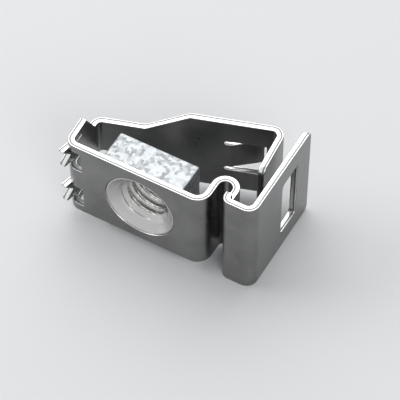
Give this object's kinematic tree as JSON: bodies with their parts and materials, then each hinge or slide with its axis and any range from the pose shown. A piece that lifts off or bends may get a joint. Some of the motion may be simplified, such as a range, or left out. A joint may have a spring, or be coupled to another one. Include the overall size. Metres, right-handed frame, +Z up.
{
  "type": "rack cage nut",
  "caption": "Snap-in rack cage nut: a square threaded nut riveted into a folded spring-steel cage with contact claws, a panel groove and a release flap.",
  "frame": {"origin": "centre of the nut's threaded hole, midway through the nut", "axes": "+X along the front wall towards the release flap, +Y from the front wall to the back wall, +Z up along the strip's height"},
  "size_m": [0.0238, 0.0148, 0.0136],
  "materials": {
    "plated_spring_steel": "smooth bright plated spring steel with sheared edges",
    "galvanised_steel": "galvanised steel with a soft spangle"
  },
  "bodies": {
    "root": {"spring_cage": "plated_spring_steel", "square_nut": "galvanised_steel"}
  },
  "joints": []
}
